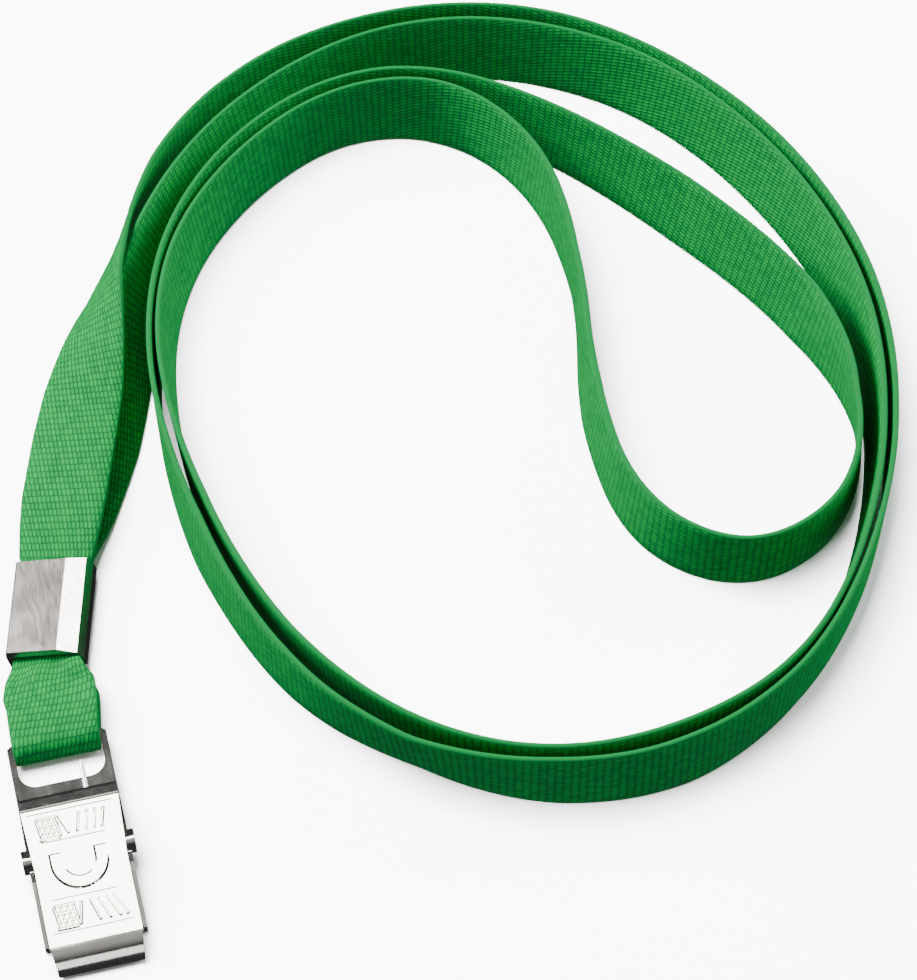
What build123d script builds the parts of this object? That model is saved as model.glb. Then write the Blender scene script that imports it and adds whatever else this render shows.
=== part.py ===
from build123d import *
import math
import os

os.makedirs("parts", exist_ok=True)

# A lanyard badge holder lying on a table: a neck loop of flat woven ribbon, a crimp ferrule that
# closes it, a small ribbon loop below the ferrule, and a sprung bulldog clip hanging on that loop.
# Millimetres. The jaw of the clip points to -Y, the ribbon leaves to +Y, and the table is Z = 0.

# Ribbon
RIBBON_WIDTH = 10.0
RIBBON_THICK = 0.8
RIBBON_MID = RIBBON_WIDTH / 2

# Centre line of the neck ribbon as it lies on its edge, out of the ferrule and back into it.
ROUTE = [
    (3, 26), (9.5, 46.5), (17.5, 68.5), (29.5, 84), (45, 92.5), (62.5, 94.5), (79, 90),
    (92.5, 78.5), (103, 61), (107.5, 40), (104.5, 19), (95.3, 0.5), (83, -12.8), (67.5, -19.8),
    (51.5, -18.5), (37.5, -11.2), (25.6, 1.6), (19, 23), (18, 45.5), (23, 63.5), (33, 76.5),
    (46.5, 84.5), (60.5, 85), (74.5, 75.5), (89, 57.5), (99.5, 38.5), (101.5, 22), (94.5, 8),
    (81, 3.5), (70, 13), (69, 31), (73.5, 51), (72.5, 69), (63.5, 81.5), (49.5, 83.5),
    (35.6, 76.2), (24.95, 64.35), (19.9, 48.3), (20.6, 26.5), (27, 6), (37.5, -8.5), (51, -16.4),
    (66.5, -17.1), (82, -11.9), (93.5, 0.5), (102.5, 19), (105.5, 39.5), (101, 60),
    (91, 77.5), (78, 87.5), (63, 92), (47.5, 89.5), (32, 80), (20.5, 64.5), (13.5, 44),
    (3, 26),
]
ARC_SHARE = 0.45

# Ferrule: a folded sheet-metal sleeve, turned and rolled with the ribbon that it closes
FERRULE_LENGTH = 13.0
FERRULE_WALL = 0.6
FERRULE_CAVITY = 2.0
FERRULE_HEIGHT = FERRULE_CAVITY + 2 * FERRULE_WALL
FERRULE_CENTRE = (1.2, 19.1, 2.4)
FERRULE_TURN = math.radians(15)
FERRULE_ROLL = math.radians(10)
FERRULE_SECTION = [
    (-4.5, -1.6), (4.5, -1.6), (4.5, -0.2), (3.95, 1.05), (1.6, 1.6), (-4.3, 1.6), (-4.5, 1.4),
]
END_BEVEL_HEIGHT = 0.55
END_BEVEL_NEAR = 0.3
END_BEVEL_FAR = 0.2
SEAM_WIDTH = 0.25
SEAM_DEPTH = 0.3
BUNCHED_WIDTH = 7.4
LAYER_THICK = FERRULE_CAVITY / 2

# Clip
CLIP_X = -1.15
JAW_Y = -25.95
CLIP_TILT = math.radians(3.5)
SHEET = 0.5
FLANGE = 0.4
BACK_WIDTH = 11.4
BACK_START = 3.0
JAW_WIDTH = 9.2
JAW_START = -0.1
BACK_END = 28.7
BACK_CORNER = 1.0
WINDOW_WIDTH = 9.9
WINDOW_START = 22.9
WINDOW_END = 27.2
WINDOW_CORNER = 2.0
PIN_AT = (12.8, 2.9)
PIN_RADIUS = 0.8
PIN_BORE = 0.45
PIN_HEAD_RADIUS = 1.35
PIN_HEAD_BORE = 0.7
PIN_HEAD_THICK = 0.6
PIN_CLEARANCE = 0.06
EAR_RADIUS = 1.3
FRONT_FLANGE_X = 5.15
FRONT_HALF_JAW = 4.7
FRONT_HALF_THUMB = 5.5
LIP_RADIUS = 3.0
THUMB_RADIUS = 0.6
LIP_TIP = (-0.3, 0.75)
LIP_CORNER = (0.45, 2.65)
THUMB_CORNER = (17.9, 5.3)
THUMB_TIP = (18.6, 6.4)
CLIP_HEIGHT = 10.0

# Relief stamped into the front plate
GROOVE_WIDTH = 0.3
GROOVE_DEPTH = 0.22
RIDGE_WIDTH = 0.42
RIDGE_HEIGHT = 0.2
RELIEF_DRAFT = 38
HORSESHOE_OUTER = 3.3
HORSESHOE_INNER = 1.7
HORSESHOE_HEIGHT = 0.32
HORSESHOE_CENTRE = (-0.1, -6.8)
HORSESHOE_LEG = 1.3

# Torsion spring on the hinge pin
WIRE_RADIUS = 0.24
COIL_RADIUS = 1.08
COIL_START_X = -2.55
COIL_PITCH = 0.56
COIL_TURNS = 8.5
LONG_LEG = 11.8
SHORT_LEG = 4.2
SHORT_LEG_RISE = math.radians(11)

# Ribbon loop round the bar of the clip
LOOP_X = -1.25
LOOP_WIDTH = 9.6
LOOP_INNER = 1.1
LOOP_OUTER = LOOP_INNER + RIBBON_THICK
LOOP_END_Y = 9.5
LAYER_GAP = 0.04

CLIP = Plane(
    origin=(CLIP_X, JAW_Y, 0),
    x_dir=(1, 0, 0),
    z_dir=(0, -math.sin(CLIP_TILT), math.cos(CLIP_TILT)),
)
CLIP_SIDE = Plane(origin=CLIP.origin, x_dir=CLIP.y_dir, z_dir=(1, 0, 0))
FERRULE = Plane(
    origin=FERRULE_CENTRE,
    x_dir=(
        math.cos(FERRULE_TURN) * math.cos(FERRULE_ROLL),
        -math.sin(FERRULE_TURN) * math.cos(FERRULE_ROLL),
        math.sin(FERRULE_ROLL),
    ),
    z_dir=(
        -math.cos(FERRULE_TURN) * math.sin(FERRULE_ROLL),
        math.sin(FERRULE_TURN) * math.sin(FERRULE_ROLL),
        math.cos(FERRULE_ROLL),
    ),
)
BAR = CLIP.from_local_coords(Vector(0, (WINDOW_END + BACK_END) / 2, SHEET / 2))


def arc_radii(points):
    """The arc at each corner is as large as the runs on both sides of it allow."""
    radii = []
    for before, corner, after in zip(points, points[1:], points[2:]):
        run_in = Vector(*corner) - Vector(*before)
        run_out = Vector(*after) - Vector(*corner)
        half_turn = math.radians(run_in.get_angle(run_out)) / 2
        radii.append(ARC_SHARE * min(run_in.length, run_out.length) / math.tan(half_turn))
    return radii


def ferrule_point(x, y, z):
    """A place given along the ferrule's own width, length and height."""
    return FERRULE.from_local_coords(Vector(x, y, z))


# ---------------------------------------------------------------- neck ribbon
neck_points = [(x, y, RIBBON_MID) for x, y in ROUTE[1:-1]]
neck_radii = arc_radii(neck_points)
with BuildPart() as neck_ribbon:
    with BuildLine() as neck_path:
        FilletPolyline(*neck_points, radius=neck_radii)
    neck_line = neck_path.wire()
    with BuildSketch(Plane(origin=neck_line @ 0, x_dir=(0, 0, 1), z_dir=neck_line % 0)):
        Rectangle(RIBBON_WIDTH, RIBBON_THICK)
    sweep()
neck_ribbon.part.label = "neck_ribbon"
export_step(neck_ribbon.part, "parts/neck_ribbon.step")
print("arc radii:", [round(r, 1) for r in neck_radii], "smallest", round(min(neck_radii), 1))
section_times_length = RIBBON_WIDTH * RIBBON_THICK * neck_line.length
print("neck ribbon length", round(neck_line.length, 1))
print("volume over section times length", round(neck_ribbon.part.volume / section_times_length, 4))


# ---------------------------------------------------------------- ribbon leads
LEAD_TURNS = [(0.0, 1.0), (0.3, 0.78), (0.6, 0.42), (1.0, 0.0)]


def build_lead(layer, side, route_end, heading):
    """Ribbon between the ferrule's mouth, where it is flat, and the point where it stands."""
    mouth = ferrule_point(0, FERRULE_LENGTH / 2, layer * LAYER_THICK / 2)
    standing = Vector(route_end[0], route_end[1], RIBBON_MID)
    with BuildPart() as lead:
        for share, flat in LEAD_TURNS:
            centre = mouth + (standing - mouth) * share
            along = FERRULE.y_dir * (1 - share) + heading * share
            turn = flat * math.pi / 2
            across = FERRULE.x_dir * (side * math.sin(turn)) + Vector(0, 0, math.cos(turn))
            width = BUNCHED_WIDTH + (RIBBON_WIDTH - BUNCHED_WIDTH) * share
            thickness = LAYER_THICK + (RIBBON_THICK - LAYER_THICK) * share
            with BuildSketch(Plane(origin=centre, x_dir=across, z_dir=along)):
                Rectangle(width, thickness)
        loft(ruled=True)
    return lead


first_heading = (neck_line % 0).normalized()
last_heading = (neck_line % 1).normalized() * -1
ribbon_lead_front = build_lead(1, 1, ROUTE[1], first_heading)
ribbon_lead_front.part.label = "ribbon_lead_front"
export_step(ribbon_lead_front.part, "parts/ribbon_lead_front.step")

ribbon_lead_back = build_lead(-1, -1, ROUTE[-2], last_heading)
ribbon_lead_back.part.label = "ribbon_lead_back"
export_step(ribbon_lead_back.part, "parts/ribbon_lead_back.step")


# ---------------------------------------------------------------- ferrule and the layers in it
FERRULE_TOP = FERRULE_HEIGHT / 2
FERRULE_END = FERRULE_LENGTH / 2
FERRULE_ACROSS = Plane(origin=FERRULE_CENTRE, x_dir=FERRULE.x_dir, z_dir=-FERRULE.y_dir)
FERRULE_SIDE = Plane(origin=FERRULE_CENTRE, x_dir=FERRULE.y_dir, z_dir=FERRULE.x_dir)
with BuildPart() as crimp_ferrule:
    with BuildSketch(FERRULE_ACROSS):
        Polygon(*FERRULE_SECTION, align=None)
    extrude(amount=FERRULE_END, both=True)
    with BuildSketch(FERRULE_SIDE):
        for end, depth in ((-FERRULE_END, END_BEVEL_NEAR), (FERRULE_END, -END_BEVEL_FAR)):
            Polygon(
                (end, FERRULE_TOP), (end + depth, FERRULE_TOP), (end, FERRULE_TOP - END_BEVEL_HEIGHT),
                align=None,
            )
    extrude(amount=FERRULE_LENGTH, both=True, mode=Mode.SUBTRACT)
    with BuildSketch(FERRULE.offset(-FERRULE_CAVITY / 2)):
        Rectangle(BUNCHED_WIDTH, FERRULE_LENGTH)
    extrude(amount=FERRULE_CAVITY, mode=Mode.SUBTRACT)
    with BuildSketch(FERRULE.offset(-FERRULE_TOP)):
        Rectangle(SEAM_WIDTH, FERRULE_LENGTH)
    extrude(amount=SEAM_DEPTH, mode=Mode.SUBTRACT)
crimp_ferrule.part.label = "crimp_ferrule"
export_step(crimp_ferrule.part, "parts/crimp_ferrule.step")

with BuildPart() as ribbon_crimped_layers:
    with BuildSketch(FERRULE.offset(-FERRULE_CAVITY / 2)):
        Rectangle(BUNCHED_WIDTH, FERRULE_LENGTH)
    extrude(amount=FERRULE_CAVITY)
ribbon_crimped_layers.part.label = "ribbon_crimped_layers"
export_step(ribbon_crimped_layers.part, "parts/ribbon_crimped_layers.step")


# ---------------------------------------------------------------- ribbon loop round the clip's bar
LOOP_RUN = LOOP_END_Y - BAR.Y
with BuildPart() as clip_loop_ribbon:
    with BuildSketch(Plane(origin=(LOOP_X, BAR.Y, BAR.Z), x_dir=(0, 1, 0), z_dir=(1, 0, 0))):
        Circle(LOOP_OUTER)
        with Locations((LOOP_RUN / 2, 0)):
            Rectangle(LOOP_RUN, 2 * LOOP_OUTER)
        Circle(LOOP_INNER, mode=Mode.SUBTRACT)
        with Locations((LOOP_RUN / 2, 0)):
            Rectangle(LOOP_RUN, 2 * LOOP_INNER, mode=Mode.SUBTRACT)
    extrude(amount=LOOP_WIDTH / 2, both=True)
clip_loop_ribbon.part.label = "clip_loop_ribbon"
export_step(clip_loop_ribbon.part, "parts/clip_loop_ribbon.step")

with BuildPart() as ribbon_loop_ends:
    for layer in (1, -1):
        height = BAR.Z + layer * (LOOP_INNER + LOOP_OUTER) / 2
        with BuildSketch(Plane(origin=(LOOP_X, LOOP_END_Y, height), x_dir=(1, 0, 0), z_dir=(0, 1, 0))):
            Rectangle(LOOP_WIDTH, RIBBON_THICK)
        mouth = ferrule_point(0, -FERRULE_LENGTH / 2, layer * LAYER_THICK / 2)
        with BuildSketch(Plane(origin=mouth, x_dir=FERRULE.x_dir, z_dir=FERRULE.y_dir)):
            Rectangle(BUNCHED_WIDTH, LAYER_THICK - LAYER_GAP)
        loft(ruled=True)
ribbon_loop_ends.part.label = "ribbon_loop_ends"
export_step(ribbon_loop_ends.part, "parts/ribbon_loop_ends.step")


# ---------------------------------------------------------------- back plate of the clip
BACK_FLANGE = [
    (3.0, 0), (3.0, 1.3), (10.2, 3.2), (15.2, 3.0), (19.6, 1.5), (27.5, 1.5), (28.1, 0.9), (28.1, 0),
]
with BuildPart() as clip_back_plate:
    with BuildSketch(CLIP) as blank:
        with Locations((0, (BACK_START + BACK_END) / 2)):
            Rectangle(BACK_WIDTH, BACK_END - BACK_START)
        with Locations((0, (JAW_START + BACK_START) / 2)):
            Rectangle(JAW_WIDTH, BACK_START - JAW_START)
        fillet(blank.vertices().sort_by(Axis.Y)[-2:], radius=BACK_CORNER)
    extrude(amount=SHEET)
    for side in (-1, 1):
        with BuildSketch(CLIP_SIDE.offset(side * (BACK_WIDTH - FLANGE) / 2)):
            Polygon(*BACK_FLANGE, align=None)
            with Locations(PIN_AT):
                Circle(EAR_RADIUS)
        extrude(amount=FLANGE / 2, both=True)
    with BuildSketch(CLIP) as window:
        with Locations((0, (WINDOW_START + WINDOW_END) / 2)):
            Rectangle(WINDOW_WIDTH, WINDOW_END - WINDOW_START)
        fillet(window.vertices().sort_by(Axis.Y)[:2], radius=WINDOW_CORNER)
    extrude(amount=SHEET, mode=Mode.SUBTRACT)
    with BuildSketch(CLIP_SIDE):
        with Locations(PIN_AT):
            Circle(PIN_RADIUS)
    extrude(amount=BACK_WIDTH, both=True, mode=Mode.SUBTRACT)
clip_back_plate.part.label = "clip_back_plate"
export_step(clip_back_plate.part, "parts/clip_back_plate.step")


# ---------------------------------------------------------------- hinge pin with flared ends
PIN_HALF = BACK_WIDTH / 2
with BuildPart() as hinge_pin:
    with BuildSketch(CLIP_SIDE):
        with Locations(PIN_AT):
            Circle(PIN_RADIUS)
    extrude(amount=PIN_HALF, both=True)
    for side in (-1, 1):
        with BuildSketch(CLIP_SIDE.offset(side * (PIN_HALF + PIN_HEAD_THICK / 2))):
            with Locations(PIN_AT):
                Circle(PIN_HEAD_RADIUS)
        extrude(amount=PIN_HEAD_THICK / 2, both=True)
    with BuildSketch(CLIP_SIDE):
        with Locations(PIN_AT):
            Circle(PIN_BORE)
    extrude(amount=BACK_WIDTH, both=True, mode=Mode.SUBTRACT)
    for side in (-1, 1):
        with BuildSketch(CLIP_SIDE.offset(side * (PIN_HALF + PIN_HEAD_THICK / 2))):
            with Locations(PIN_AT):
                Circle(PIN_HEAD_BORE)
        extrude(amount=PIN_HEAD_THICK / 2, both=True, mode=Mode.SUBTRACT)
hinge_pin.part.label = "hinge_pin"
export_step(hinge_pin.part, "parts/hinge_pin.step")


# ---------------------------------------------------------------- front plate of the clip
FRONT_FLANGE = [
    (2.5, 2.95), (2.9, 1.5), (10.6, 2.4), (14.9, 3.3), (17.3, 4.0), (17.3, 5.16),
]
FRONT_OUTLINE = [
    (-FRONT_HALF_JAW, -1.0), (-FRONT_FLANGE_X, 2.4), (-FRONT_FLANGE_X, 11.0), (-FRONT_HALF_THUMB, 17.8),
    (-FRONT_HALF_THUMB, 20.0), (FRONT_HALF_THUMB, 20.0), (FRONT_HALF_THUMB, 17.8),
    (FRONT_FLANGE_X, 11.0), (FRONT_FLANGE_X, 2.4), (FRONT_HALF_JAW, -1.0),
]
FACE_SLOPE = math.atan2(THUMB_CORNER[1] - LIP_CORNER[1], THUMB_CORNER[0] - LIP_CORNER[0])
face_normal = CLIP.z_dir * math.cos(FACE_SLOPE) - CLIP.y_dir * math.sin(FACE_SLOPE)
FACE = Plane(
    origin=CLIP_SIDE.from_local_coords(Vector(*THUMB_CORNER)) + face_normal * (SHEET / 2),
    x_dir=(1, 0, 0),
    z_dir=face_normal,
)

# Relief on the face: x across it, y from the bend of the thumb end (0) down to the lip (negative).
UPPER_PANEL = [(-4.7, -0.8), (4.5, -0.8), (3.4, -4.2), (-3.7, -4.2), (-4.7, -0.8)]
LOWER_PANEL = [(-3.8, -10.8), (3.2, -10.8), (4.6, -14.6), (-4.6, -14.6), (-3.8, -10.8)]
UPPER_BARS = [
    [(-1.5, -1.3), (-0.6, -3.6)], [(0.9, -1.3), (0.3, -3.6)], [(1.8, -1.3), (1.3, -3.6)],
    [(2.7, -1.3), (2.2, -3.6)], [(3.6, -1.3), (3.0, -3.6)],
]
LOWER_BARS = [
    [(-0.8, -11.4), (-1.3, -14.0)], [(0.2, -11.4), (1.0, -14.0)], [(1.1, -11.4), (2.1, -14.0)],
    [(2.0, -11.4), (3.2, -14.0)], [(2.8, -11.4), (4.0, -14.0)],
]
UPPER_LATTICE = (-4.0, -2.0, -1.4, -3.8)
LOWER_LATTICE = (-3.9, -1.8, -11.5, -14.1)
LATTICE_STEP = 0.75


def lattice_lines(left, right, top, bottom):
    """Bars that run down and across a small rectangle, a step apart, leaning a little."""
    lines = []
    across = round((right - left) / LATTICE_STEP)
    down = round((top - bottom) / LATTICE_STEP)
    for i in range(across + 1):
        x = left + (right - left) * i / across
        lines.append([(x, top), (x + RIDGE_WIDTH, bottom)])
    for i in range(down + 1):
        y = top + (bottom - top) * i / down
        lines.append([(left, y), (right + RIDGE_WIDTH, y)])
    return lines


with BuildPart() as clip_front_plate:
    with BuildLine(CLIP_SIDE) as front_profile:
        FilletPolyline(LIP_TIP, LIP_CORNER, THUMB_CORNER, THUMB_TIP, radius=[LIP_RADIUS, THUMB_RADIUS])
    bend = front_profile.wire()
    with BuildSketch(Plane(origin=bend @ 0, x_dir=(1, 0, 0), z_dir=bend % 0)):
        Rectangle(2 * FRONT_HALF_THUMB, SHEET)
    sweep()
    with BuildSketch(CLIP):
        Polygon(*FRONT_OUTLINE, align=None)
    extrude(amount=CLIP_HEIGHT, mode=Mode.INTERSECT)
    for side in (-1, 1):
        with BuildSketch(CLIP_SIDE.offset(side * (FRONT_FLANGE_X - FLANGE / 2))):
            Polygon(*FRONT_FLANGE, align=None)
            with Locations(PIN_AT):
                Circle(EAR_RADIUS)
        extrude(amount=FLANGE / 2, both=True)
    with BuildSketch(CLIP_SIDE):
        with Locations(PIN_AT):
            Circle(PIN_RADIUS + PIN_CLEARANCE)
    extrude(amount=BACK_WIDTH, both=True, mode=Mode.SUBTRACT)
    for outline in (UPPER_PANEL, LOWER_PANEL):
        with BuildSketch(FACE):
            with BuildLine():
                Polyline(*outline)
            trace(line_width=GROOVE_WIDTH)
        extrude(amount=-GROOVE_DEPTH, mode=Mode.SUBTRACT)
    bars = UPPER_BARS + LOWER_BARS + lattice_lines(*UPPER_LATTICE) + lattice_lines(*LOWER_LATTICE)
    for bar in bars:
        with BuildSketch(FACE):
            with BuildLine():
                Line(*bar)
            trace(line_width=RIDGE_WIDTH)
        extrude(amount=RIDGE_HEIGHT, taper=RELIEF_DRAFT)
    with BuildSketch(FACE):
        with Locations(HORSESHOE_CENTRE):
            Circle(HORSESHOE_OUTER)
            Circle(HORSESHOE_INNER, mode=Mode.SUBTRACT)
            with Locations((0, HORSESHOE_OUTER)):
                Rectangle(2 * HORSESHOE_OUTER, 2 * HORSESHOE_OUTER, mode=Mode.SUBTRACT)
            for side in (-1, 1):
                with Locations((side * (HORSESHOE_OUTER + HORSESHOE_INNER) / 2, HORSESHOE_LEG / 2)):
                    Rectangle(HORSESHOE_OUTER - HORSESHOE_INNER, HORSESHOE_LEG)
    extrude(amount=HORSESHOE_HEIGHT, taper=RELIEF_DRAFT)
clip_front_plate.part.label = "clip_front_plate"
export_step(clip_front_plate.part, "parts/clip_front_plate.step")


# ---------------------------------------------------------------- torsion spring
COIL_START = CLIP_SIDE.offset(COIL_START_X).from_local_coords(Vector(*PIN_AT))
SHORT_LEG_WAY = (0, math.cos(SHORT_LEG_RISE), math.sin(SHORT_LEG_RISE))
with BuildPart() as torsion_spring:
    with BuildLine() as coil:
        Helix(
            pitch=COIL_PITCH,
            height=COIL_TURNS * COIL_PITCH,
            radius=COIL_RADIUS,
            center=COIL_START,
            direction=(1, 0, 0),
        )
    wire = coil.wire()
    with BuildSketch(Plane(origin=wire @ 0, z_dir=wire % 0)):
        Circle(WIRE_RADIUS)
    sweep(is_frenet=True)
    with BuildSketch(Plane(origin=wire @ 0, z_dir=SHORT_LEG_WAY)):
        Circle(WIRE_RADIUS)
    extrude(amount=SHORT_LEG)
    with BuildSketch(Plane(origin=wire @ 1, z_dir=(0, 1, 0))):
        Circle(WIRE_RADIUS)
    extrude(amount=LONG_LEG)
    with Locations(wire @ 0, wire @ 1):
        Sphere(WIRE_RADIUS)
torsion_spring.part.label = "torsion_spring"
export_step(torsion_spring.part, "parts/torsion_spring.step")
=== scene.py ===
import math

import bpy
import numpy as np
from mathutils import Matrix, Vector


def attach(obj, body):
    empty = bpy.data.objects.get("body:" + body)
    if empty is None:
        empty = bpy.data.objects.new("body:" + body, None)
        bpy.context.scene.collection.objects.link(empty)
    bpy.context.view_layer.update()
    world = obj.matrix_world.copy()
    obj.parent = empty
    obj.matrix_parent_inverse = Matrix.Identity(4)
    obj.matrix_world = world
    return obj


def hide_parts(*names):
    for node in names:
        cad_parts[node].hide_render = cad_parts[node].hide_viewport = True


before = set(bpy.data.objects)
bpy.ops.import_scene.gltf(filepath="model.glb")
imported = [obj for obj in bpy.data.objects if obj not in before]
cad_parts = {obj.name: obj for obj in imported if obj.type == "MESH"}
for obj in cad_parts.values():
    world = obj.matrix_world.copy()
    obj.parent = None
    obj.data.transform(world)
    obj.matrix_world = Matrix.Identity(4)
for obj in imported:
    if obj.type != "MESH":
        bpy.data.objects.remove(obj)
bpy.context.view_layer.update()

MM = 0.001

# ---------------------------------------------------------------- camera
VIEW_TARGET = Vector((51.8, 26.0, 0.0)) * MM
VIEW_AZIMUTH = math.radians(-13.8)
VIEW_ELEVATION = math.radians(56.0)
VIEW_DISTANCE = 390 * MM


def make_camera():
    data = bpy.data.cameras.new("camera")
    data.sensor_width = 36
    data.lens = 118.9
    data.clip_start, data.clip_end = 0.01, 20
    camera = bpy.data.objects.new("camera", data)
    level = math.cos(VIEW_ELEVATION)
    back = Vector((
        math.sin(VIEW_AZIMUTH) * level,
        -math.cos(VIEW_AZIMUTH) * level,
        math.sin(VIEW_ELEVATION),
    ))
    camera.location = VIEW_TARGET + back * VIEW_DISTANCE
    camera.rotation_mode = "QUATERNION"
    camera.rotation_quaternion = (-back).to_track_quat("-Z", "Y")
    bpy.context.scene.collection.objects.link(camera)
    bpy.context.scene.camera = camera


make_camera()

# ---------------------------------------------------------------- ribbon: sizes and route
RIBBON_WIDTH = 10.0
RIBBON_THICK = 0.72
RIBBON_MID = RIBBON_WIDTH / 2
RIB_PITCH = 0.9
RIB_RISE = 0.035

# The route of the neck ribbon's centre line, in metres, out of the ferrule and back into it.
ROUTE = [
    (0.003, 0.026), (0.0095, 0.0465), (0.0175, 0.0685), (0.0295, 0.084), (0.045, 0.0925),
    (0.0625, 0.0945), (0.079, 0.09), (0.0925, 0.0785), (0.103, 0.061), (0.1075, 0.04),
    (0.1045, 0.019), (0.0953, 0.0005), (0.083, -0.0128), (0.0675, -0.0198), (0.0515, -0.0185),
    (0.0375, -0.0112), (0.0256, 0.0016), (0.019, 0.023), (0.018, 0.0455), (0.023, 0.0635),
    (0.033, 0.0765), (0.0465, 0.0845), (0.0605, 0.085), (0.0745, 0.0755), (0.089, 0.0575),
    (0.0995, 0.0385), (0.1015, 0.022), (0.0945, 0.008), (0.081, 0.0035), (0.07, 0.013),
    (0.069, 0.031), (0.0735, 0.051), (0.0725, 0.069), (0.0635, 0.0815), (0.0495, 0.0835),
    (0.0356, 0.0762), (0.02495, 0.06435), (0.0199, 0.0483), (0.0206, 0.0265), (0.027, 0.006),
    (0.0375, -0.0085), (0.051, -0.0164), (0.0665, -0.0171), (0.082, -0.0119), (0.0935, 0.0005),
    (0.1025, 0.019), (0.1055, 0.0395), (0.101, 0.06), (0.091, 0.0775), (0.078, 0.0875),
    (0.063, 0.092), (0.0475, 0.0895), (0.032, 0.08), (0.0205, 0.0645), (0.0135, 0.044),
    (0.003, 0.026),
]
# How far the ribbon leans at each point of the route after its lead, in degrees: to the left of
# its way is positive.
LEANS = [
    -82, -64, -22, -2, 8, 10, 10, 10, 10, 7, 1, 1, 3, -2, 1, 13, 1, -5, 2, 6, 8, 7, 5, 9, 18, 15,
    -6, 1, 2, -5, -8, 0, -7, -12, -7, -7, -8, -7, -1, -7, -7, -5, -4, -5, -6, -7, -12, -16,
    -14, -11, -9, -11, -18, -25, -42, -97,
]
# How many stations the leans, the lifts and the widths are each smoothed over, on each side.
SMOOTHED_OVER = (9, 9, 3)
# The two leads, by the distance from the ferrule in millimetres: the lean in degrees, the lift of
# the lower edge off the table and the width. The back one is gathered where it is under the other.
FRONT_LEAD = [
    (-3, -82, 1.75, 7.2), (-1.2, -82, 1.8, 7.3), (-0.3, -82, 1.9, 8.9), (4, -81, 2.3, 10.0),
    (8, -80, 2.6, 10.6), (17, -78, 2.2, 10.8), (24, -75, 1.6, 10.5), (31, -57, 0.8, 10.2),
    (39, -29, 0.2, 10.0), (48, -14, 0.0, 10.0), (57, -3, 0.0, 10.0),
]
BACK_LEAD = [
    (-3, -99, 2.4, 7.2), (-1.2, -99, 2.3, 7.3), (-0.3, -98, 2.1, 8.2), (3, -94, 1.5, 8.4),
    (6, -88, 0.8, 8.6), (9, -82, 0.3, 8.6), (13, -77, 0.1, 8.6), (18, -72, 0.0, 8.6),
    (26, -65, 0.0, 7.4), (34, -50, 0.0, 7.3), (40, -34, 0.0, 8.6), (46, -25, 0.0, 10.0),
]


def line_of(points, height):
    """The points along the smooth line that has these points as its control points."""
    curve = bpy.data.curves.new("line", "CURVE")
    curve.dimensions = "3D"
    curve.resolution_u = 24
    spline = curve.splines.new("NURBS")
    spline.points.add(len(points) - 1)
    for control, (x, y) in zip(spline.points, points):
        control.co = (x, y, height, 1)
    spline.order_u = 3
    spline.use_endpoint_u = True
    holder = bpy.data.objects.new("line", curve)
    mesh = bpy.data.meshes.new_from_object(holder)
    line = np.array([v.co for v in mesh.vertices])
    bpy.data.objects.remove(holder)
    bpy.data.curves.remove(curve)
    bpy.data.meshes.remove(mesh)
    return line


def lengths_along(line):
    steps = np.linalg.norm(np.diff(line, axis=0), axis=1)
    return np.concatenate([[0], np.cumsum(steps)])


def at_lengths(line, run, wanted):
    """The line's points at the wanted distances along it."""
    return np.stack([np.interp(wanted, run, line[:, i]) for i in range(3)], axis=1)


def unit(vectors):
    return vectors / np.linalg.norm(vectors, axis=1, keepdims=True)


def smooth(values, reach):
    """A running mean over that many neighbours on each side, with the ends held."""
    padded = np.concatenate([np.repeat(values[:1], reach), values, np.repeat(values[-1:], reach)])
    kernel = np.hanning(2 * reach + 3)[1:-1]
    return np.convolve(padded, kernel / kernel.sum(), mode="valid")


# ---------------------------------------------------------------- ribbon: mesh
FACE_STEPS = 10
EDGE_SHARE = 0.965
FACE_SPAN = np.linspace(-EDGE_SHARE, EDGE_SHARE, FACE_STEPS)
RING_ACROSS = np.concatenate([FACE_SPAN, [0.995, 0.995], FACE_SPAN[::-1], [-0.995, -0.995]])
RING_SIDE = np.concatenate([np.ones(FACE_STEPS), [0.5, -0.5], -np.ones(FACE_STEPS), [-0.5, 0.5]])
RING_RIB = np.clip((1 - np.abs(RING_ACROSS)) / 0.12, 0, 1) * np.sign(RING_SIDE)


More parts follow.
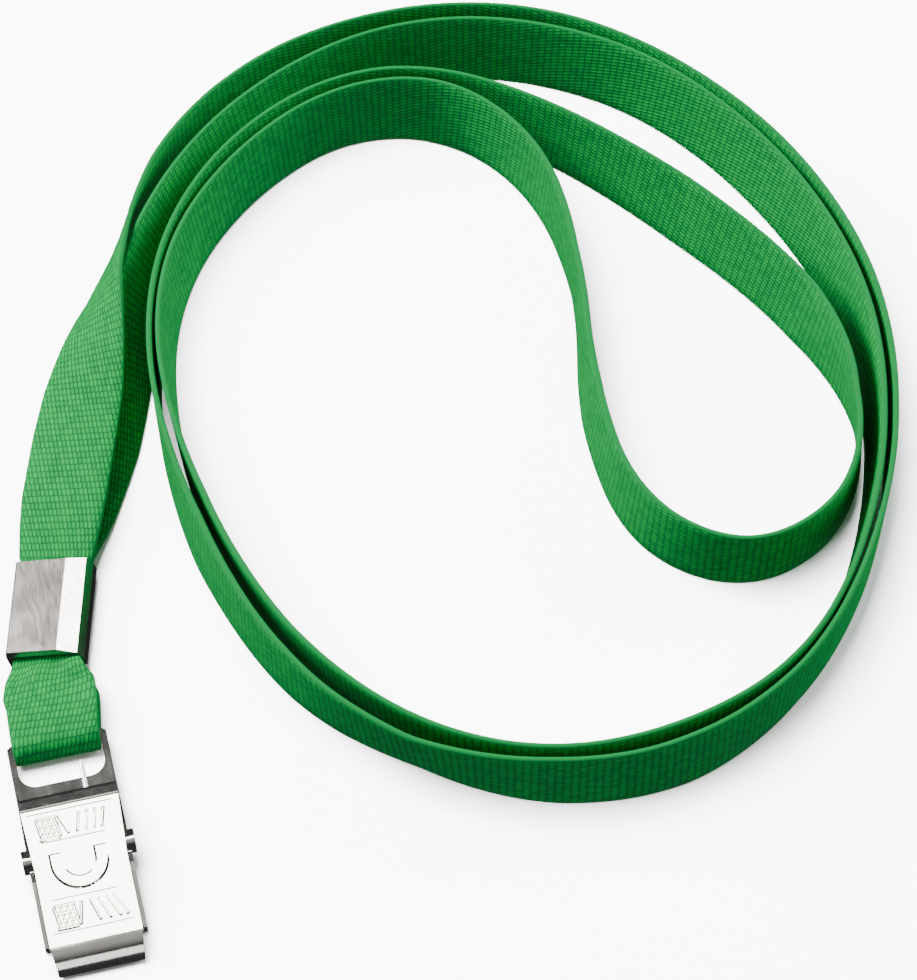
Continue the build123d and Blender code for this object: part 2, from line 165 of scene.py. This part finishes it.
def make_ribbon(name, centre, along, up, width, run, swell=None):
    """A closed band with a woven rib across it. `up` points across the ribbon, from its lower
    edge to its upper one, and `swell` lifts it off its own plane, by station and place across."""
    out = unit(np.cross(along, up))
    across = np.cross(out, along)
    rib = RIB_RISE * np.abs(np.sin(math.pi * run / RIB_PITCH))
    half = (RIBBON_THICK / 2 - RIB_RISE) * RING_SIDE[None, :] + rib[:, None] * RING_RIB[None, :]
    if swell is not None:
        half = half + swell(run[:, None], RING_ACROSS[None, :])
    reach = (width / 2)[:, None] * RING_ACROSS[None, :]
    points = centre[:, None, :] + reach[:, :, None] * across[:, None, :]
    points = points + half[:, :, None] * out[:, None, :]
    stations, ring = points.shape[:2]
    corner = np.arange(stations * ring).reshape(stations, ring)
    turned = np.roll(corner, -1, axis=1)
    quads = np.stack([corner[:-1], turned[:-1], turned[1:], corner[1:]], axis=2).reshape(-1, 4)
    faces = [list(map(int, q)) for q in quads]
    faces.append([int(i) for i in corner[0][::-1]])
    faces.append([int(i) for i in corner[-1]])
    mesh = bpy.data.meshes.new(name)
    mesh.from_pydata((points.reshape(-1, 3) * MM).tolist(), [], faces)
    flat = np.stack([np.repeat(run, ring), np.tile(RING_ACROSS * RIBBON_MID, stations)], axis=1)
    layer = mesh.uv_layers.new(name="weave")
    for loop in mesh.loops:
        layer.data[loop.index].uv = flat[loop.vertex_index]
    mesh.polygons.foreach_set("use_smooth", [True] * len(mesh.polygons))
    mesh.update()
    ribbon = bpy.data.objects.new(name, mesh)
    bpy.context.scene.collection.objects.link(ribbon)
    return ribbon


# ---------------------------------------------------------------- ferrule and bar
FERRULE_CENTRE = np.array([1.2, 19.1, 2.4])
FERRULE_TURN, FERRULE_ROLL = math.radians(15), math.radians(10)
FERRULE_HALF = 6.5
FERRULE_INSET = 3.0
FERRULE_X = np.array([
    math.cos(FERRULE_TURN) * math.cos(FERRULE_ROLL),
    -math.sin(FERRULE_TURN) * math.cos(FERRULE_ROLL),
    math.sin(FERRULE_ROLL),
])
FERRULE_Y = np.array([math.sin(FERRULE_TURN), math.cos(FERRULE_TURN), 0])
FERRULE_Z = np.cross(FERRULE_X, FERRULE_Y)
BAR_Y, BAR_Z = 1.95, 1.956
LOOP_RADIUS = 1.5
LOOP_X = -1.25
LAYER_HEIGHT = 0.5
LAYER_TOP, LAYER_BOTTOM = 6.3, -6.9
# The small loop's free stretches between the ferrule and the bar, in front and behind.
LOOP_FRONT = [(-0.9, 9.4, 3.1), (-0.8, 6.6, 3.4), (-1.05, 4.0, 3.55)]
LOOP_BACK = [(-1.0, 4.0, 0.44), (-0.7, 7.0, 0.5), (-0.5, 10.0, 1.0)]
# The small loop's width in the ferrule's upper end, at its lower end, where it spreads, on the bar.
LOOP_WIDTHS = [7.3, 7.9, 10.8, 9.8]
LOOP_SPREAD = 4.5
LOOP_TURN_OVER = 4.0
PLEAT_DEPTH, PLEAT_REACH, PLEAT_PLACE = 0.4, 1.3, 1.9
PLEAT_SHARE, PLEAT_SHIFT = 0.98, 0.28
TUCK_DEPTH, TUCK_REACH = 0.45, 1.2
EDGE_TURN, EDGE_FROM, EDGE_PLACE, EDGE_REACH = 2.2, 0.45, 0.22, 5.0


def in_ferrule(along, above):
    return FERRULE_CENTRE + FERRULE_Y * along + FERRULE_Z * above


def posture(line, run):
    """Places along the line, and the lean in radians, lift of the lower edge and width at each."""
    total = run[-1]
    steps = (len(line) - 1) / (len(ROUTE) - 2)
    known = list(FRONT_LEAD)
    for i, lean in enumerate(LEANS):
        place = np.interp((i - 0.5) * steps, np.arange(len(line)), run)
        if FRONT_LEAD[-1][0] + 8 < place < total - BACK_LEAD[-1][0] - 8:
            known.append((place, lean, 0.0, RIBBON_WIDTH))
    known += [(total - d, *rest) for d, *rest in reversed(BACK_LEAD)]
    places, leans, lifts, widths = (np.array(column) for column in zip(*known))
    return places, np.radians(leans), lifts, widths


def neck_ribbon():
    """The neck ribbon as two strands that meet at the far end of its inner loop."""
    line = line_of(ROUTE, RIBBON_MID * MM) / MM
    run = lengths_along(line)
    places, *postures = posture(line, run)
    wanted = np.arange(-FERRULE_INSET, run[-1] + FERRULE_INSET, RIB_PITCH / 4)
    lean, lift, width = (
        smooth(np.interp(wanted, places, values), reach)
        for values, reach in zip(postures, SMOOTHED_OVER)
    )
    inner = in_ferrule(FERRULE_HALF - FERRULE_INSET, 0)
    whole = np.vstack([inner, line, inner])
    whole_run = np.concatenate([[-FERRULE_INSET], run, [run[-1] + FERRULE_INSET]])
    centre = at_lengths(whole, whole_run, wanted)
    along = unit(np.gradient(centre, axis=0))
    left = np.stack([-along[:, 1], along[:, 0], np.zeros(len(along))], axis=1)
    up = np.cos(lean)[:, None] * np.array([0, 0, 1.0]) + np.sin(lean)[:, None] * left
    centre[:, 2] = width / 2 * np.cos(lean) + lift + RIBBON_THICK / 2 * np.abs(np.sin(lean))
    middle = len(wanted) // 2
    strands = []
    halves = (("neck_ribbon_out", slice(0, middle + 1)), ("neck_ribbon_back", slice(middle, None)))
    for name, part in halves:
        strand = make_ribbon(name, centre[part], along[part], up[part], width[part], wanted[part])
        path = at_lengths(whole, whole_run, wanted[part][::4])
        strands.append((strand, path * MM, (wanted[part][-1] - wanted[part][0]) * MM))
    return strands


strands = neck_ribbon()

# ---------------------------------------------------------------- ribbon round the clip's bar
def small_loop():
    """One length of ribbon: down through the ferrule, round the clip's bar and back up."""
    turn = [
        np.array([LOOP_X, BAR_Y - LOOP_RADIUS * math.sin(a), BAR_Z + LOOP_RADIUS * math.cos(a)])
        for a in np.linspace(0, math.pi, 25)
    ]
    front = [in_ferrule(d, LAYER_HEIGHT) for d in np.linspace(LAYER_TOP, LAYER_BOTTOM, 12)]
    back = [in_ferrule(d, -LAYER_HEIGHT) for d in np.linspace(LAYER_BOTTOM, LAYER_TOP, 12)]
    rough = np.vstack([front, LOOP_FRONT, turn, LOOP_BACK, back])
    run = lengths_along(rough)
    wanted = np.arange(0, run[-1], RIB_PITCH / 4)
    centre = at_lengths(rough, run, wanted)
    centre = np.stack([smooth(centre[:, i], 3) for i in range(3)], axis=1)
    along = unit(np.gradient(centre, axis=0))
    total = run[-1]
    lower_mouth = 2 * FERRULE_HALF
    free = total - 2 * lower_mouth
    from_end = np.minimum(wanted, total - wanted)
    into_loop = np.clip((from_end - lower_mouth) / LOOP_TURN_OVER, 0, 1)
    cross = FERRULE_X[None, :] * (1 - into_loop[:, None]) + np.array([1.0, 0, 0]) * into_loop[:, None]
    up = unit(cross - along * np.sum(cross * along, axis=1, keepdims=True))
    width = np.interp(from_end, [0, lower_mouth, lower_mouth + LOOP_SPREAD, total / 2], LOOP_WIDTHS)

    def swell(s, a):
        from_pleats = (s - lower_mouth - PLEAT_PLACE) / PLEAT_REACH
        pleats = PLEAT_DEPTH * np.exp(-(from_pleats ** 2))
        pleats = pleats * np.cos(2 * math.pi * (a * PLEAT_SHARE - PLEAT_SHIFT))
        tuck = TUCK_DEPTH * np.exp(-((s - lower_mouth) / TUCK_REACH) ** 2)
        turned_down = np.exp(-((s - lower_mouth - free * EDGE_PLACE) / EDGE_REACH) ** 2)
        turned_down = turned_down * np.clip(a - EDGE_FROM, 0, 1) ** 2 * EDGE_TURN
        return turned_down - pleats - tuck

    return make_ribbon("small_loop", centre, along, up, width, wanted, swell)


loop = small_loop()


# ---------------------------------------------------------------- materials
class Shader:
    """A node material that is put together one value at a time."""

    def __init__(self, name):
        self.material = bpy.data.materials.new(name)
        self.material.use_nodes = True
        self.tree = self.material.node_tree
        self.surface = self.tree.nodes["Principled BSDF"]

    def node(self, kind, **settings):
        made = self.tree.nodes.new(kind)
        for key, value in settings.items():
            setattr(made, key, value)
        return made

    def feed(self, socket, value):
        if isinstance(value, bpy.types.NodeSocket):
            self.tree.links.new(value, socket)
        else:
            socket.default_value = value

    def math(self, operation, a, b=0.0, c=0.0):
        made = self.node("ShaderNodeMath", operation=operation)
        for socket, value in zip(made.inputs, (a, b, c)):
            self.feed(socket, value)
        return made.outputs[0]

    def noise(self, scale, detail=3.0, stretch=(1, 1, 1)):
        place = self.node("ShaderNodeTexCoord").outputs["Object"]
        mapping = self.node("ShaderNodeMapping")
        mapping.inputs["Scale"].default_value = [1000 * k for k in stretch]
        self.tree.links.new(place, mapping.inputs["Vector"])
        made = self.node("ShaderNodeTexNoise")
        made.inputs["Scale"].default_value = scale
        made.inputs["Detail"].default_value = detail
        self.tree.links.new(mapping.outputs[0], made.inputs["Vector"])
        return made.outputs["Fac"]

    def ramp(self, factor, stops):
        made = self.node("ShaderNodeValToRGB")
        while len(made.color_ramp.elements) < len(stops):
            made.color_ramp.elements.new(0.5)
        for element, (place, colour) in zip(made.color_ramp.elements, stops):
            element.position = place
            element.color = (*colour, 1)
        self.feed(made.inputs["Fac"], factor)
        return made.outputs["Color"]

    def bump(self, height, distance, strength=1.0):
        made = self.node("ShaderNodeBump")
        made.inputs["Strength"].default_value = strength
        made.inputs["Distance"].default_value = distance
        self.feed(made.inputs["Height"], height)
        self.feed(self.surface.inputs["Normal"], made.outputs["Normal"])

    def set(self, **values):
        for key, value in values.items():
            self.feed(self.surface.inputs[key.replace("_", " ")], value)


YARN_PITCH = 0.5
SELVEDGE = 0.96
EDGE_TONE = 0.3


def weave_material():
    """Ribbed polyester: rows of short floats, with painted highlight on their crowns and painted shade
    in the gaps between the rows.
    """
    m = Shader("woven_ribbon")
    place = m.node("ShaderNodeUVMap", uv_map="weave").outputs["UV"]
    split = m.node("ShaderNodeSeparateXYZ")
    m.feed(split.inputs[0], place)
    row = m.math("DIVIDE", split.outputs["X"], RIB_PITCH)
    row_number = m.math("FLOOR", row)
    shift = m.math("MULTIPLY", row_number, 0.5)
    slant = m.math("MULTIPLY", m.math("FRACT", row), 0.25)
    column = m.math("ADD", m.math("ADD", m.math("DIVIDE", split.outputs["Y"], YARN_PITCH), shift), slant)
    rise = m.math("POWER", m.math("SINE", m.math("MULTIPLY", m.math("FRACT", row), math.pi)), 0.4)
    float_ = m.math("POWER", m.math("SINE", m.math("MULTIPLY", m.math("FRACT", column), math.pi)), 0.7)
    height = m.math("MULTIPLY", rise, float_)
    cell = m.node("ShaderNodeCombineXYZ")
    m.feed(cell.inputs[0], row_number)
    m.feed(cell.inputs[1], m.math("FLOOR", column))
    chance = m.node("ShaderNodeTexWhiteNoise", noise_dimensions="2D")
    m.feed(chance.inputs["Vector"], cell.outputs[0])
    lustre = m.math("MULTIPLY_ADD", chance.outputs["Value"], 0.5, 0.55)
    patches = m.math("MULTIPLY_ADD", m.noise(0.16, 2.0), 0.5, 0.72)
    # Painted highlight and shade: the colour tone rises with each float's height, lighter on the crowns
    # and darker in the gaps between the rows, and varies at random from float to float and in broad
    # patches.
    tone = m.math("MULTIPLY", m.math("MULTIPLY", height, lustre), patches)
    to_edge = m.math("DIVIDE", m.math("ABSOLUTE", split.outputs["Y"]), RIBBON_MID)
    face = m.math("LESS_THAN", to_edge, SELVEDGE)
    tone = m.math("MULTIPLY_ADD", m.math("SUBTRACT", tone, EDGE_TONE), face, EDGE_TONE)
    colour = m.ramp(tone, [
        (0.0, (0.006, 0.07, 0.024)),
        (0.3, (0.006, 0.24, 0.052)),
        (0.6, (0.004, 0.35, 0.060)),
        (1.0, (0.002, 0.42, 0.070)),
    ])
    m.set(Base_Color=colour, Roughness=0.6, IOR=1.45)
    m.surface.inputs["Specular IOR Level"].default_value = 0.06
    m.bump(m.math("MULTIPLY", height, face), 0.00012, 0.6)
    return m.material


def metal_material(name, colour, dull, rough, grain, grain_size, stretch):
    """Plated metal: fine drawn grain, small scratches and a little uneven dullness."""
    m = Shader(name)
    cloudy = m.noise(0.35, 4.0)
    lines = m.noise(grain_size, 6.0, stretch)
    tone = m.math("MULTIPLY_ADD", cloudy, 0.5, 0.25)
    m.set(
        Base_Color=m.ramp(tone, [(0.2, dull), (0.75, colour)]),
        Metallic=1.0,
        Roughness=m.math("MULTIPLY_ADD", m.math("MULTIPLY", cloudy, lines), rough, rough * 0.6),
    )
    m.bump(lines, grain, 0.6)
    return m.material


weave = weave_material()
nickel = metal_material(
    "bright_nickel", colour=(0.95, 0.94, 0.90), dull=(0.82, 0.79, 0.70),
    rough=0.16, grain=0.000004, grain_size=1.4, stretch=(1, 0.4, 1),
)
satin = metal_material(
    "satin_nickel", colour=(0.50, 0.47, 0.44), dull=(0.44, 0.41, 0.38),
    rough=0.24, grain=0.00001, grain_size=2.2, stretch=(1, 0.25, 1),
)
steel = metal_material(
    "spring_steel", colour=(0.85, 0.85, 0.84), dull=(0.7, 0.7, 0.69),
    rough=0.2, grain=0.00001, grain_size=3.0, stretch=(1, 1, 1),
)

for piece in [strand for strand, _, _ in strands] + [loop]:
    piece.data.materials.append(weave)
for node, material in (
    ("crimp_ferrule", satin),
    ("clip_back_plate", nickel),
    ("clip_front_plate", nickel),
    ("hinge_pin", nickel),
    ("torsion_spring", steel),
):
    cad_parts[node].data.materials.clear()
    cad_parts[node].data.materials.append(material)


# ---------------------------------------------------------------- what each piece stands for
for (strand, path, length), lead in zip(strands, ("ribbon_lead_front", "ribbon_lead_back")):
    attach(strand, "strap")
    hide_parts("neck_ribbon", lead)
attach(loop, "strap")
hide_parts("clip_loop_ribbon", "ribbon_loop_ends", "ribbon_crimped_layers")


# ---------------------------------------------------------------- table, light and surroundings
TABLE_HALF = 1.5
TABLE_GAP = 0.00002
# The room as matt things are lit by it, and as the camera sees it past the table.
FILL = 0.45
PALE = 9.0
# The room as metal reflects it: dark, and paler overhead. Directions away from the camera's side
# count as lower by this much.
FAR_SIDE_LOWER = 0.8
ROOM_LOW = (0.6, (0.03, 0.03, 0.034, 1))
ROOM_HIGH = (0.92, (0.4, 0.4, 0.38, 1))
AIM = (0.05, 0.03, 0)
CLIP_AIM = (0, -0.01, 0)


def make_table():
    mesh = bpy.data.meshes.new("table")
    corners = [(x * TABLE_HALF, y * TABLE_HALF, 0) for x, y in ((-1, -1), (1, -1), (1, 1), (-1, 1))]
    mesh.from_pydata(corners, [], [(0, 1, 2, 3)])
    table = bpy.data.objects.new("table", mesh)
    table.location.z = -TABLE_GAP
    table.visible_diffuse = False
    table.visible_glossy = False
    bpy.context.scene.collection.objects.link(table)
    m = Shader("table_white")
    colour = m.ramp(m.noise(0.02, 2.0), [(0.3, (0.88, 0.88, 0.88)), (0.7, (0.9, 0.9, 0.9))])
    m.set(Base_Color=colour, Roughness=0.9)
    mesh.materials.append(m.material)
    return table


def area_light(name, place, aim, size, power, only=None):
    """A soft light. `only` names the objects that it lights, where it isn't for everything."""
    data = bpy.data.lights.new(name, "AREA")
    data.shape = "RECTANGLE"
    data.size, data.size_y = size
    data.energy = power
    light = bpy.data.objects.new(name, data)
    light.location = place
    light.rotation_mode = "QUATERNION"
    light.rotation_quaternion = (Vector(aim) - Vector(place)).to_track_quat("-Z", "Y")
    bpy.context.scene.collection.objects.link(light)
    if only is not None:
        lit = bpy.data.collections.new(name + "_lights")
        for thing in only:
            lit.objects.link(thing)
        light.light_linking.receiver_collection = lit


def make_world():
    """A pale room that fills the shadows softly, with dark surroundings for the metal to reflect."""
    world = bpy.data.worlds.new("room")
    world.use_nodes = True
    tree = world.node_tree
    background = tree.nodes["Background"]
    rays = tree.nodes.new("ShaderNodeLightPath")
    place = tree.nodes.new("ShaderNodeTexCoord")
    split = tree.nodes.new("ShaderNodeSeparateXYZ")
    behind = tree.nodes.new("ShaderNodeMath")
    behind.operation = "MAXIMUM"
    height = tree.nodes.new("ShaderNodeMath")
    height.operation = "MULTIPLY_ADD"
    ramp = tree.nodes.new("ShaderNodeValToRGB")
    tree.links.new(place.outputs["Generated"], split.inputs[0])
    tree.links.new(split.outputs["Y"], behind.inputs[0])
    behind.inputs[1].default_value = 0
    tree.links.new(behind.outputs[0], height.inputs[0])
    height.inputs[1].default_value = -FAR_SIDE_LOWER
    tree.links.new(split.outputs["Z"], height.inputs[2])
    tree.links.new(height.outputs[0], ramp.inputs["Fac"])
    for element, (position, colour) in zip(ramp.color_ramp.elements, (ROOM_LOW, ROOM_HIGH)):
        element.position = position
        element.color = colour
    fill = tree.nodes.new("ShaderNodeMix")
    fill.data_type = "RGBA"
    tree.links.new(rays.outputs["Is Glossy Ray"], fill.inputs["Factor"])
    fill.inputs["A"].default_value = (FILL, FILL, FILL, 1)
    seen = tree.nodes.new("ShaderNodeMix")
    seen.data_type = "RGBA"
    tree.links.new(rays.outputs["Is Camera Ray"], seen.inputs["Factor"])
    seen.inputs["B"].default_value = (PALE, PALE, PALE, 1)
    tree.links.new(ramp.outputs["Color"], fill.inputs["B"])
    tree.links.new(fill.outputs["Result"], seen.inputs["A"])
    tree.links.new(seen.outputs["Result"], background.inputs["Color"])
    bpy.context.scene.world = world


table = make_table()
make_world()
ferrule, front_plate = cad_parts["crimp_ferrule"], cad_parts["clip_front_plate"]
metal = [ferrule, front_plate]
metal += [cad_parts[node] for node in ("clip_back_plate", "hinge_pin", "torsion_spring")]
area_light("key", (-0.5, 0.46, 0.55), AIM, (0.35, 0.35), 14.5)
area_light("side", (0.65, 0.25, 0.3), AIM, (0.35, 0.35), 5.5)
area_light("over_table", (-0.2, 0.2, 0.95), AIM, (0.6, 0.6), 110, [table])
area_light("over_metal", (0.0, 0.055, 0.6), CLIP_AIM, (0.3, 0.17), 1.7, metal)
area_light("strip", (0.079, 0.437, 0.727), CLIP_AIM, (0.13, 0.2), 2.4, [ferrule])
area_light("lip", (0.0, -0.6, 0.17), CLIP_AIM, (0.3, 0.3), 0.5, [front_plate])
